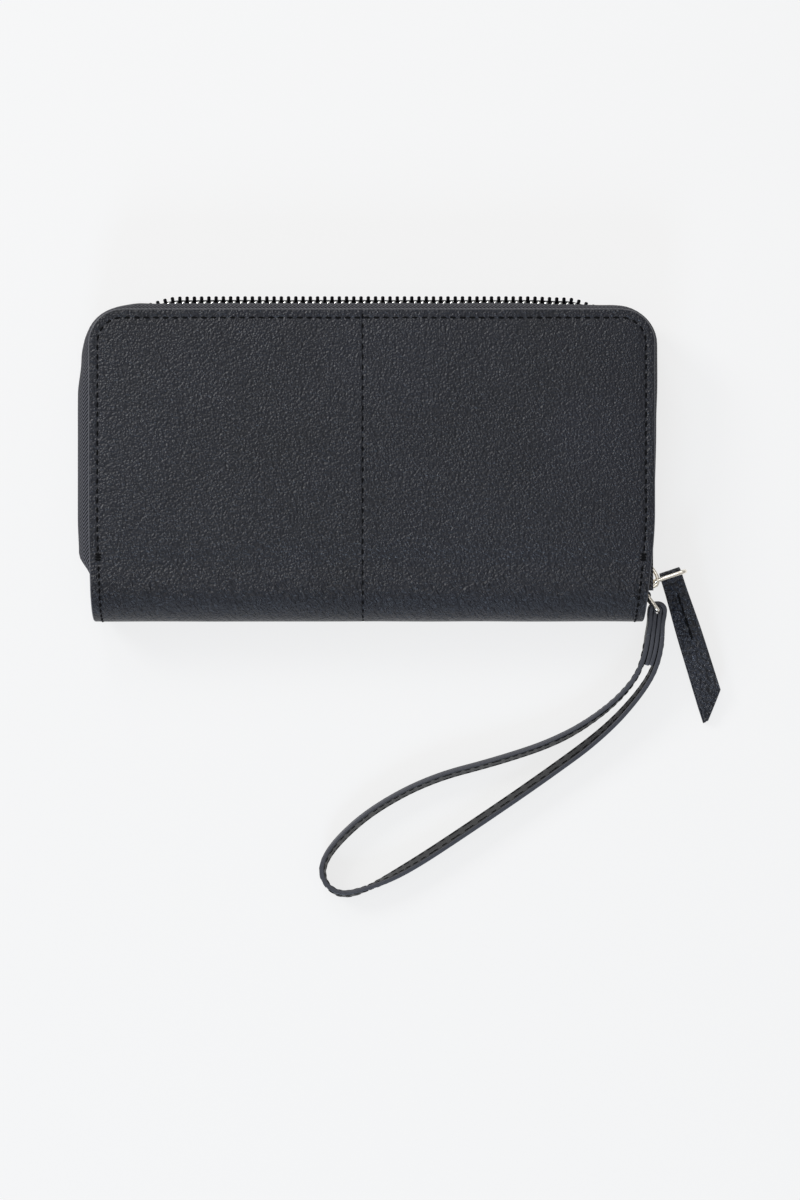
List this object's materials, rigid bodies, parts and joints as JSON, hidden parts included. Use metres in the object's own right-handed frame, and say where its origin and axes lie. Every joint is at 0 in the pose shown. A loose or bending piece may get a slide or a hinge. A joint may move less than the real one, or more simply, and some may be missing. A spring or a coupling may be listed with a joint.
{
  "type": "wristlet wallet",
  "caption": "Zip-around leather wristlet wallet that opens at a rolled spine, with card slots, note compartments, a coin pocket, a slider with a leather puller and a wrist strap.",
  "frame": {"origin": "middle of the cover outline, on the outer face of the back leather, which lies on the table", "axes": "+X along the spine towards the strap, +Y from the spine to the zipped edge, +Z from the back cover to the front cover"},
  "size_m": [0.2179, 0.2028, 0.022],
  "materials": {
    "black_leather": "pebbled full-grain leather, black with a faint blue sheen, satin",
    "strap_leather": "smooth black strap leather with painted edges",
    "stiffener": "bonded-leather stiffening board, matte",
    "lining_fabric": "black twill lining",
    "card_leather": "thin smooth black leather",
    "zip_tape": "black herringbone zip tape",
    "zip_metal": "bright nickel-plated teeth",
    "slider_metal": "polished pale nickel with a warm tint"
  },
  "bodies": {
    "back_cover": {"back_leather_left": "black_leather", "back_leather_right": "black_leather", "back_board": "stiffener", "back_lining": "lining_fabric", "back_card_panel": "card_leather", "back_card_slot_1": "card_leather", "back_card_slot_2": "card_leather", "back_card_slot_3": "card_leather", "back_zip_tape": "zip_tape", "back_zip_teeth": "zip_metal", "zip_end_stop": "zip_metal", "ring_tab": "strap_leather", "gusset_left_back": "lining_fabric", "gusset_right_back": "lining_fabric"},
    "spine_middle": {"spine_leather_left": "black_leather", "spine_leather_right": "black_leather", "spine_lining": "lining_fabric", "spine_web": "lining_fabric", "coin_pocket_back_wall": "card_leather", "coin_pocket_front_wall": "card_leather", "coin_pocket_binding": "lining_fabric", "coin_zip_tape_back": "zip_tape", "coin_zip_tape_front": "zip_tape", "coin_zip_teeth": "zip_metal"},
    "front_cover": {"front_leather_left": "black_leather", "front_leather_right": "black_leather", "front_board": "stiffener", "front_lining": "lining_fabric", "front_card_panel": "card_leather", "front_card_slot_1": "card_leather", "front_card_slot_2": "card_leather", "front_card_slot_3": "card_leather", "front_zip_tape": "zip_tape", "front_zip_teeth": "zip_metal", "gusset_left_front": "lining_fabric", "gusset_right_front": "lining_fabric"},
    "coin_slider": {"coin_slider": "slider_metal"},
    "coin_pull": {"coin_pull": "slider_metal"},
    "zip_slider": {"slider_body": "slider_metal", "slider_crown": "slider_metal"},
    "pull_ring": {"pull_ring": "slider_metal"},
    "pull_tab": {"pull_tab": "black_leather"},
    "strap_ring": {"strap_ring": "slider_metal"},
    "wrist_strap": {"strap_fold": "strap_leather", "wrist_strap": "strap_leather"}
  },
  "joints": [
    {"name": "spine_opens", "type": "hinge", "parent": "back_cover", "child": "spine_middle", "pos_m": [0, -0.047, 0.00147], "axis": [1, 0, 0], "range_deg": [0, 30], "deforming": ["gusset_left_back", "gusset_right_back"]},
    {"name": "cover_opens", "type": "hinge", "parent": "spine_middle", "child": "front_cover", "pos_m": [0, -0.047, 0.02053], "axis": [1, 0, 0], "range_deg": [0, 30], "deforming": ["gusset_left_front", "gusset_right_front"]},
    {"name": "coin_slider_runs", "type": "slide", "parent": "spine_middle", "child": "coin_slider", "axis": [1, 0, 0], "range_m": [0, 0.152]},
    {"name": "coin_pull_lifts", "type": "hinge", "parent": "coin_slider", "child": "coin_pull", "pos_m": [-0.077, 0.0485, 0.011], "axis": [0, 0, 1], "range_deg": [0, 22]},
    {"name": "zip_slider_runs", "type": "slide", "parent": "back_cover", "child": "zip_slider", "axis": [0.0361, 0.9993, 0], "range_m": [0, 0.07], "deforming": ["back_zip_teeth", "front_zip_teeth"]},
    {"name": "pull_ring_swings", "type": "hinge", "parent": "zip_slider", "child": "pull_ring", "pos_m": [0.09537, -0.039, 0.011], "axis": [0, 0, 1], "range_deg": [0, 38]},
    {"name": "pull_tab_lifts", "type": "hinge", "parent": "pull_ring", "child": "pull_tab", "pos_m": [0.10139, -0.03698, 0.0092], "axis": [-0.9483, -0.3173, 0], "range_deg": [0, 45]},
    {"name": "strap_ring_swings", "type": "hinge", "parent": "back_cover", "child": "strap_ring", "pos_m": [0.0929, -0.0436, 0.0085], "axis": [0, 0, 1], "range_deg": [0, 5.5]},
    {"name": "strap_swings", "type": "hinge", "parent": "strap_ring", "child": "wrist_strap", "pos_m": [0.09674, -0.04872, 0.0085], "axis": [0, 0, 1], "range_deg": [0, 12]}
  ],
  "couplings": [
    {"joint": "cover_opens", "follows": "spine_opens", "ratio": 1}
  ]
}
